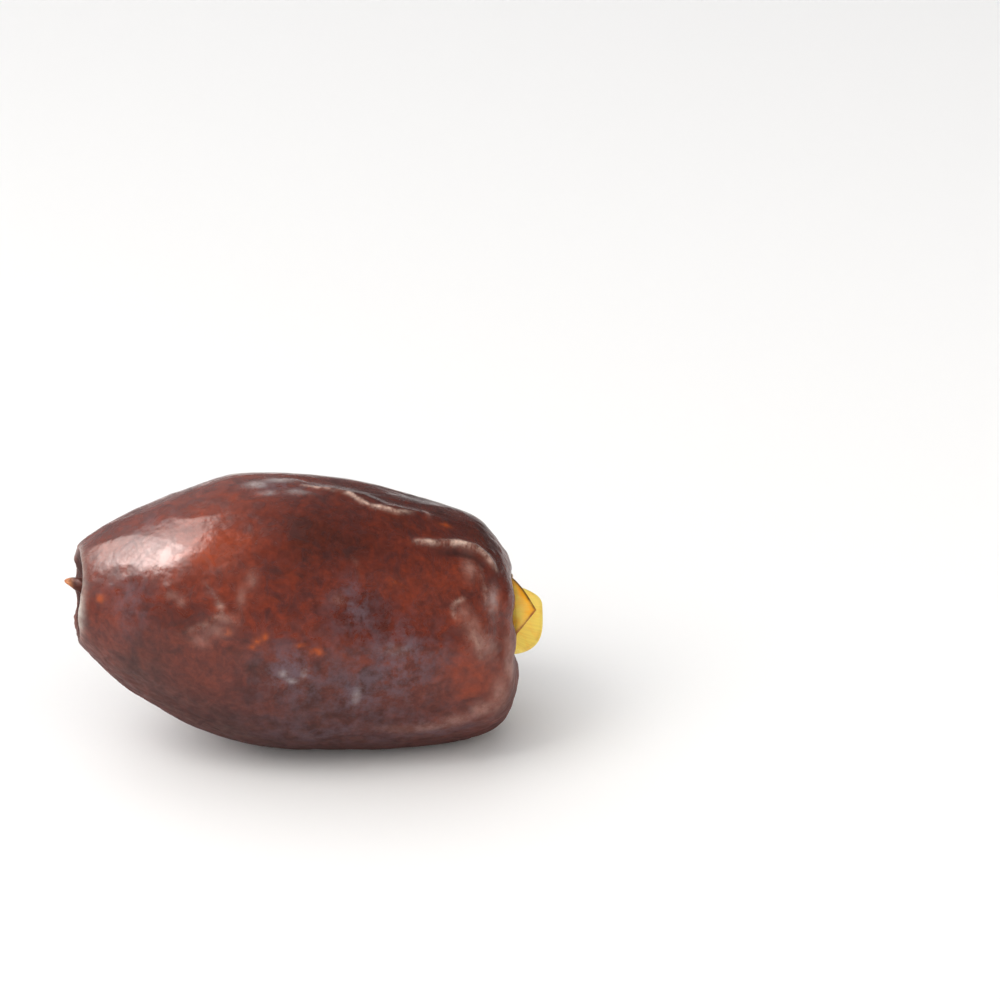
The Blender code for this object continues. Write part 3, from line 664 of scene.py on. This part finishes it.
def waxy_date_skin():
    """Ripe date skin: thin, leathery and tight over dark syrupy flesh.

    The flesh shows through as red-brown where the skin lies close and as dark purple-brown
    where it is thick. A thin film of natural wax greys and dulls it in places. Clean skin
    shines like plant wax, IOR 1.44 and roughness about 0.2, a little weaker here because the
    skin is finely creased. Light and shade are painted into the colour too: painted shade on
    the underside, in the furrows and hollows and in some dark patches, a painted highlight on
    the crests of the fine folds, and painted reflection in some of the pale wax.
    """
    material, tree, shader = new_material("waxy_date_skin")
    place = add(tree, "ShaderNodeAttribute", attribute_name="place").outputs["Vector"]
    kept = {name: add(tree, "ShaderNodeAttribute", attribute_name=name).outputs["Fac"]
            for name in ("flush", "dusk", "bloom", "rust", "frost_and_reflection", "scuff", "crest_highlight", "belly_shade",
                         "shade", "rim")}
    drawn_out = add(tree, "ShaderNodeVectorMath", {0: place, 1: (0.13, 0.24, 0.24)},
                    operation="MULTIPLY").outputs[0]
    # patterns: (name, where, scale per mm, detail, roughness, distortion, and the lowest and
    # highest value of the noise with what they become)
    pattern = {}
    for name, where, scale, detail, rough, bent, low, high, least, most in (
            # clouds of tone, 4 mm across the fruit and 8 mm along it
            ("cloud", drawn_out, 1.0, 4.0, 0.62, 0.5, 0.30, 0.70, 0.12, 0.78),
            # browner and redder mottles, 2 mm across, and the gloss that changes with them
            ("brownness", place, 0.55, 4.0, 0.66, 0.8, 0.34, 0.62, 0.0, 1.0),
            ("gloss", place, 0.55, 4.0, 0.66, 0.8, 0.35, 0.65, 0.17, 0.34),
            # freckles under the skin, 0.7 mm across
            ("freckle", place, 1.4, 3.0, 0.7, 0.0, 0.35, 0.70, 0.80, 1.20),
            # ragged edges of the rust flecks, 0.9 mm across
            ("speck", place, 1.1, 2.0, 0.5, 0.0, 0.38, 0.58, 0.0, 1.0),
            # smears 1.5 mm across, which break up the wax film and the worn places
            ("smear", place, 0.65, 5.0, 0.72, 0.0, 0.42, 0.62, 0.0, 1.0)):
        cells = add(tree, "ShaderNodeTexNoise", {"Vector": where, "Scale": scale,
                                                 "Detail": detail, "Roughness": rough,
                                                 "Distortion": bent}).outputs[0]
        pattern[name] = add(tree, "ShaderNodeMapRange", {
            "Value": cells, "From Min": low, "From Max": high, "To Min": least,
            "To Max": most}).outputs[0]
    tone = pattern["cloud"]
    for name, weight in (("flush", 0.5), ("dusk", -0.36)):
        tone = add(tree, "ShaderNodeMath", {0: kept[name], 1: weight, 2: tone},
                   operation="MULTIPLY_ADD").outputs[0]
    flesh = add(tree, "ShaderNodeValToRGB", {"Fac": tone})
    ramp = flesh.color_ramp
    ramp.interpolation = "EASE"
    ramp.elements[0].color = colour("#401A18")
    ramp.elements[1].color = colour("#963A1C")
    for position, hex_code in ((0.35, "#5A2420"), (0.65, "#6E2E24")):
        ramp.elements.new(position).color = colour(hex_code)
    tint = add(tree, "ShaderNodeMix", {0: pattern["brownness"], 6: colour("#883A1E"),
                                       7: colour("#452820")}, data_type="RGBA").outputs[2]
    base = add(tree, "ShaderNodeMix", {0: 0.42, 6: flesh.outputs["Color"], 7: tint},
               data_type="RGBA").outputs[2]
    smear = pattern["smear"]
    patchy = add(tree, "ShaderNodeMapRange", {"Value": smear, "To Min": 0.42,
                                              "To Max": 0.92}).outputs[0]
    broken = add(tree, "ShaderNodeMapRange", {"Value": smear, "To Min": 0.1}).outputs[0]
    film = add(tree, "ShaderNodeMath", {0: smear, 1: kept["bloom"]},
               operation="MULTIPLY").outputs[0]
    # painted shade on the underside, deepest lowest down
    low = add(tree, "ShaderNodeMath", {0: kept["belly_shade"], 1: kept["belly_shade"]},
              operation="MULTIPLY").outputs[0]
    # one over another: two factors, whose product is the cover, then the colour
    for first, second, over, blend in (
            (kept["dusk"], 0.5, colour("#341C1A"), "MIX"),        # thick skin, and painted shade in some patches
            (low, 0.62, colour("#300E0A"), "MIX"),                # painted shade on the underside
            (1.0, 1.0, pattern["freckle"], "MULTIPLY"),
            (pattern["speck"], kept["rust"], colour("#A84A18"), "MIX"),
            (film, 0.85, colour("#66545C"), "MIX"),               # thin wax
            (kept["scuff"], patchy, colour("#A2766A"), "MIX"),    # loosened dry skin
            (kept["frost_and_reflection"], patchy, colour("#B4AAA8"), "MIX"),    # thicker wax, and painted reflection on the top
            (kept["crest_highlight"], broken, colour("#E6C6B4"), "MIX"),    # painted highlight along the crests of the fine folds
            (kept["shade"], 0.8, colour("#26100E"), "MIX"),       # painted shade in the furrows and hollows
            (kept["rim"], patchy, colour("#CFC4BA"), "MIX")):     # wax and painted reflection on the rim round the style tip
        cover = add(tree, "ShaderNodeMath", {0: first, 1: second},
                    operation="MULTIPLY").outputs[0]
        base = add(tree, "ShaderNodeMix", {0: cover, 6: base, 7: over}, data_type="RGBA",
                   blend_type=blend).outputs[2]
    tree.links.new(base, shader.inputs["Base Color"])
    # gloss: tight where clean, duller underneath, under the wax and in the furrows
    gloss = pattern["gloss"]
    for dulled, weight in ((kept["belly_shade"], 0.46), (film, 0.22), (kept["shade"], 0.4)):
        gloss = add(tree, "ShaderNodeMath", {0: dulled, 1: weight, 2: gloss},
                    operation="MULTIPLY_ADD").outputs[0]
    tree.links.new(gloss, shader.inputs["Roughness"])
    # leathery grain, 0.8 mm apart: coarser than the real 0.2 mm, so that it shows
    grain = add(tree, "ShaderNodeTexNoise", {"Vector": place, "Scale": 1.25, "Detail": 1.6,
                                             "Roughness": 0.5}).outputs[0]
    bump = add(tree, "ShaderNodeBump", {"Height": grain, "Strength": 0.36,
                                        "Distance": 0.00012})
    tree.links.new(bump.outputs[0], shader.inputs["Normal"])
    shader.inputs["IOR"].default_value = 1.39
    shader.inputs["Subsurface Weight"].default_value = 0.06
    shader.inputs["Subsurface Radius"].default_value = (1.0, 0.28, 0.14)
    shader.inputs["Subsurface Scale"].default_value = 0.0012
    return material


def dry_calyx_cap():
    """Dried perianth: stiff, papery, with fine ribs; straw yellow, amber where it is thick.

    It is matt like dry leaf, roughness about 0.5, and lets light through. Its edges have
    browned.
    """
    material, tree, shader = new_material("dry_calyx_cap")
    rib_place = add(tree, "ShaderNodeAttribute", attribute_name="rib_place").outputs["Vector"]
    edge, amber, char = [add(tree, "ShaderNodeAttribute", attribute_name=name).outputs["Fac"]
                         for name in ("edge", "amber", "char")]
    # warmer and paler patches, 1.1 mm across
    patch = add(tree, "ShaderNodeTexNoise", {"Vector": rib_place, "Scale": 0.9, "Detail": 3.0,
                                             "Roughness": 0.6}).outputs[0]
    warm = add(tree, "ShaderNodeMapRange", {"Value": patch, "From Min": 0.35, "From Max": 0.65,
                                            "To Min": -0.2, "To Max": 0.25}).outputs[0]
    warm = add(tree, "ShaderNodeMath", {0: amber, 1: warm}, operation="ADD",
               use_clamp=True).outputs[0]
    # ribs 0.2 mm apart
    ribs = add(tree, "ShaderNodeVectorMath", {0: rib_place, 1: (0.25, 5.0, 1.0)},
               operation="MULTIPLY").outputs[0]
    rib = add(tree, "ShaderNodeTexNoise", {"Vector": ribs, "Scale": 1.0,
                                           "Detail": 2.0}).outputs[0]
    rib_tone = add(tree, "ShaderNodeMapRange", {"Value": rib, "From Min": 0.35, "From Max": 0.65,
                                                "To Min": 0.94, "To Max": 1.03}).outputs[0]
    # the browned edge comes and goes; on one side of the front lobe it is burnt darker
    ragged = add(tree, "ShaderNodeMapRange", {"Value": patch, "From Min": 0.3, "From Max": 0.7,
                                              "To Min": 0.55, "To Max": 1.25}).outputs[0]
    browned = add(tree, "ShaderNodeMath", {0: edge, 1: ragged}, operation="MULTIPLY",
                  use_clamp=True).outputs[0]
    burnt = add(tree, "ShaderNodeMix", {0: char, 6: colour("#8A4A12"), 7: colour("#3A2408")},
                data_type="RGBA").outputs[2]
    base = colour("#FFE070")
    for cover, over, blend in ((warm, colour("#FFB01E"), "MIX"), (1.0, rib_tone, "MULTIPLY"),
                               (browned, burnt, "MIX")):
        base = add(tree, "ShaderNodeMix", {0: cover, 6: base, 7: over}, data_type="RGBA",
                   blend_type=blend).outputs[2]
    tree.links.new(base, shader.inputs["Base Color"])
    bump = add(tree, "ShaderNodeBump", {"Height": rib, "Strength": 0.5, "Distance": 0.00012})
    tree.links.new(bump.outputs[0], shader.inputs["Normal"])
    shader.inputs["Roughness"].default_value = 0.5
    shader.inputs["Subsurface Weight"].default_value = 0.5
    shader.inputs["Subsurface Radius"].default_value = (1.0, 0.7, 0.25)
    shader.inputs["Subsurface Scale"].default_value = 0.0008
    return material


def dry_style_stub():
    """Dried style: woody and dark brown, tan at its broken point; matt, roughness 0.55."""
    material, tree, shader = new_material("dry_style_stub")
    place = add(tree, "ShaderNodeAttribute", attribute_name="place").outputs["Vector"]
    out = add(tree, "ShaderNodeAttribute", attribute_name="out").outputs["Fac"]
    # woody grain, 0.3 mm apart
    grain = add(tree, "ShaderNodeTexNoise", {"Vector": place, "Scale": 3.0,
                                             "Detail": 3.0}).outputs[0]
    pale = add(tree, "ShaderNodeMapRange", {"Value": out, "From Min": 0.66, "From Max": 0.94},
               interpolation_type="SMOOTHSTEP").outputs[0]
    tone = add(tree, "ShaderNodeMapRange", {"Value": grain, "From Min": 0.35, "From Max": 0.65,
                                            "To Min": 0.7, "To Max": 1.25}).outputs[0]
    base = colour("#4E1C0E")
    for cover, over, blend in ((pale, colour("#BC7440"), "MIX"), (1.0, tone, "MULTIPLY")):
        base = add(tree, "ShaderNodeMix", {0: cover, 6: base, 7: over}, data_type="RGBA",
                   blend_type=blend).outputs[2]
    tree.links.new(base, shader.inputs["Base Color"])
    bump = add(tree, "ShaderNodeBump", {"Height": grain, "Strength": 0.6, "Distance": 0.0001})
    tree.links.new(bump.outputs[0], shader.inputs["Normal"])
    shader.inputs["Roughness"].default_value = 0.55
    return material


def as_piece(name, mesh, material):
    """The mesh as an object of its own, in this material."""
    piece = bpy.data.objects.new(name, mesh)
    bpy.context.scene.collection.objects.link(piece)
    mesh.materials.append(material)
    return piece


def make_fruit(middle):
    """The fruit in its finished skin."""
    def surface(share, angle):
        return set_down(fruit_points(share, angle))
    mesh, share, angle = sphere_mesh("fruit_mesh", FRUIT_MESH, surface, middle)
    along = np.interp(share, OUTLINE[0], OUTLINE[1])
    radius = np.interp(share, OUTLINE[0], OUTLINE[2])
    place = round_the_axis(along, radius, angle)
    height = np.empty(len(mesh.vertices) * 3, dtype=np.float32)
    mesh.vertices.foreach_get("co", height)
    height = height.reshape(-1, 3)[:, 2] / MM
    keep_on_points(mesh, "place", place)
    keep_on_points(mesh, "free", np.clip((height - 0.05) / 0.8, 0.0, 1.0))
    away = 0.5 - 0.5 * np.cos(angle - math.radians(45))
    shoulder = np.clip((along - 11.0) / 8.0, 0.0, 1.0)
    keep_on_points(mesh, "slack", np.clip(0.10 + 0.8 * away ** 1.5 + 0.25 * shoulder, 0.0, 1.0))
    for name, places in (("flush", FLUSH), ("dusk", DUSK), ("bloom", BLOOM), ("frost_and_reflection", FROST_AND_REFLECTION),
                         ("scuff", SCUFFS), ("rust", RUST)):
        keep_on_points(mesh, name, patches(place, places))
    # painted highlight on the crests and painted shade in the furrows of the fine folds; one of
    # 0.17 mm or more takes its full colour
    crest_highlight = np.zeros(len(place))
    furrow = np.zeros(len(place))
    for bump, half_width, path in FINE_FOLDS:
        line = fold(place, min(1.0, (bump / 0.17) ** 2), 0.8 * half_width, path)
        if bump > 0:
            crest_highlight = np.maximum(crest_highlight, line)
        else:
            furrow = np.maximum(furrow, line)
    # wax and painted reflection on the rim of the style hollow, strongest in front, and painted
    # shade inside both hollows
    style_end = along < -ENDS_FROM
    degrees = np.degrees(np.arctan2(np.sin(angle), np.cos(angle)))
    wax_and_reflection = 0.08 + 0.8 * np.exp(-((degrees - 3) / 26) ** 2)
    wax_and_reflection += 0.45 * np.exp(-((degrees - 70) / 34) ** 2)
    rim = np.exp(-((radius - STYLE_RIM_RADIUS) / 0.40) ** 2) * style_end * wax_and_reflection
    well = np.clip((STYLE_RIM_RADIUS - 0.1 - radius) / 0.5, 0.0, 1.0) * style_end
    cup_well = np.clip((CALYX_RIM_RADIUS - 0.3 - radius) / 0.8, 0.0, 1.0) * (along > ENDS_FROM)
    # painted shade, darker towards the bottom; the same mask also dulls the gloss there
    belly_shade = np.clip(0.35 - place[:, 2] / 14.0, 0.0, 1.0)
    # painted shade: dark colour in the furrows of the fine folds and inside both hollows
    shade = np.maximum(furrow, np.maximum(well, 0.8 * cup_well))
    for name, values in (("crest_highlight", crest_highlight), ("shade", shade), ("rim", rim), ("belly_shade", belly_shade)):
        keep_on_points(mesh, name, values)
    return run_tree("date_fruit", mesh, skin_relief_tree(), {"Skin": waxy_date_skin()})


def make_calyx(middle):
    """The calyx cap with thin lobes."""
    mesh, share, angle = sphere_mesh("date_calyx", CALYX_MESH, calyx_points, middle)
    way = 1.0 - np.abs(2.0 * share - 1.0)
    height = lobe_height(angle)[0]
    sheet = calyx_sheet(way, angle)
    keep_on_points(mesh, "rib_place", np.stack([sheet[:, 0], RIB_RADIUS * angle, 0 * angle],
                                               axis=-1))
    from_rim = (1.0 - way) * (CALYX_CUP_HEIGHT + height)
    past_front = angle - math.radians(CALYX_LOBES[0][0])
    front = np.cos(past_front)
    line = np.clip(1.7 * np.exp(-(from_rim / 0.17) ** 2), 0.0, 1.0)
    line = line * np.where(front > 0, 1.0, 0.15)
    scar = 0.5 * np.exp(-((CALYX_CUP_RADIUS * np.sin(way * math.pi) - SCAR_RADIUS) / 0.3) ** 2)
    keep_on_points(mesh, "edge", np.maximum(line, np.where(way < 0.5, scar, 0.0)))
    keep_on_points(mesh, "char", np.clip(np.sin(past_front) * 6.0, 0.0, 1.0))
    outer = np.clip((way - 0.72) / 0.16, 0.0, 1.0)
    upper = np.clip(0.6 + 1.5 * np.sin(past_front), 0.0, 1.0)
    by_the_fruit = 0.5 * np.clip((0.66 - way) / 0.1, 0.0, 1.0)
    keep_on_points(mesh, "amber", np.where(front > 0, 0.25 + outer * (0.1 + 0.6 * upper),
                                           by_the_fruit))
    return as_piece("date_calyx", mesh, dry_calyx_cap())


def make_style_tip(middle):
    """The dried style tip."""
    mesh, share, angle = sphere_mesh("date_style_tip", TIP_MESH, tip_points, middle)
    keep_on_points(mesh, "out", 1.0 - share)
    keep_on_points(mesh, "place", np.stack([-4.0 * share, np.cos(angle), np.sin(angle)], axis=-1))
    return as_piece("date_style_tip", mesh, dry_style_stub())


def white_surface():
    """Smooth white melamine table: satin, roughness about 0.55, almost without own tint."""
    material, tree, shader = new_material("white_table")
    shader.inputs["Base Color"].default_value = colour("#F8F8F7")
    shader.inputs["Roughness"].default_value = 0.55
    shader.inputs["Specular IOR Level"].default_value = 0.3
    bpy.ops.mesh.primitive_plane_add(size=TABLE_SIZE, location=(0.0, 0.0, -TABLE_SINK))
    floor = bpy.context.object
    floor.name = "white_table"
    floor.data.materials.append(material)


def soft_light(name, direction, size, radiance, tint, shines, shows):
    """A rectangular soft box that faces the fruit.

    One that doesn't shine is seen as a reflection only; one that doesn't show only shines.
    """
    lamp = bpy.data.lights.new(name, "AREA")
    lamp.shape = "RECTANGLE"
    lamp.size, lamp.size_y = size
    lamp.energy = radiance * math.pi * size[0] * size[1]
    lamp.color = colour(tint)[:3]
    holder = bpy.data.objects.new(name, lamp)
    aim = Vector(direction).normalized()
    holder.location = Vector(AIM_POINT) + aim * LIGHT_DISTANCE
    holder.rotation_euler = aim.to_track_quat("Z", "Y").to_euler()
    holder.visible_diffuse = shines
    holder.visible_glossy = shows
    bpy.context.scene.collection.objects.link(holder)


def white_room():
    """Surroundings that are bright from the upper left and dim towards the viewer."""
    world = bpy.data.worlds.new("white_room")
    world.use_nodes = True
    tree = world.node_tree
    background = tree.nodes["Background"]
    direction = add(tree, "ShaderNodeTexCoord").outputs["Generated"]
    towards = add(tree, "ShaderNodeVectorMath", {0: direction, 1: ROOM_BRIGHT_SIDE},
                  operation="DOT_PRODUCT").outputs["Value"]
    glow = add(tree, "ShaderNodeMapRange", {"Value": towards, "From Min": 0.25, "From Max": 0.9,
                                            "To Min": ROOM_DIM, "To Max": ROOM_BRIGHT},
               interpolation_type="SMOOTHSTEP").outputs[0]
    background.inputs["Color"].default_value = colour("#FCFCFF")
    tree.links.new(glow, background.inputs["Strength"])
    bpy.context.scene.world = world


def set_camera():
    """The photograph's viewpoint: 24 degrees above the table and 7 degrees to the left."""
    azimuth, elevation = math.radians(-7.0), math.radians(24.0)
    back = Vector((math.sin(azimuth) * math.cos(elevation),
                   -math.cos(azimuth) * math.cos(elevation), math.sin(elevation)))
    right = Vector((math.cos(azimuth), math.sin(azimuth), 0.0))
    up = back.cross(right)
    pixels_per_mm, distance, sensor = 10.5, 450.0, 36.0
    fruit_at = (308.2, 609.2)              # the fruit's middle in a 1000 x 1000 frame
    target = Vector((0.0, 0.0, 13.2))
    target += right * (500.0 - fruit_at[0]) / pixels_per_mm
    target += up * (fruit_at[1] - 500.0) / pixels_per_mm
    data = bpy.data.cameras.new("camera")
    data.sensor_width = sensor
    data.lens = sensor * distance * pixels_per_mm / 1000.0
    data.clip_start, data.clip_end = 0.01, 20.0
    camera = bpy.data.objects.new("camera", data)
    camera.location = (target + back * distance) * MM
    camera.rotation_euler = back.to_track_quat("Z", "Y").to_euler()
    bpy.context.scene.collection.objects.link(camera)
    bpy.context.scene.camera = camera


set_camera()
white_room()
for light in LIGHTS:
    soft_light(*light)
white_surface()
MIDDLE = middle_of_part()
for piece, node, finish in ((make_fruit(MIDDLE), "fruit", "skin"),
                            (make_calyx(MIDDLE), "calyx", "calyx"),
                            (make_style_tip(MIDDLE), "style_tip", "style")):
    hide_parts(node)
    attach(piece, "root")
bpy.context.scene.view_settings.view_transform = "Standard"
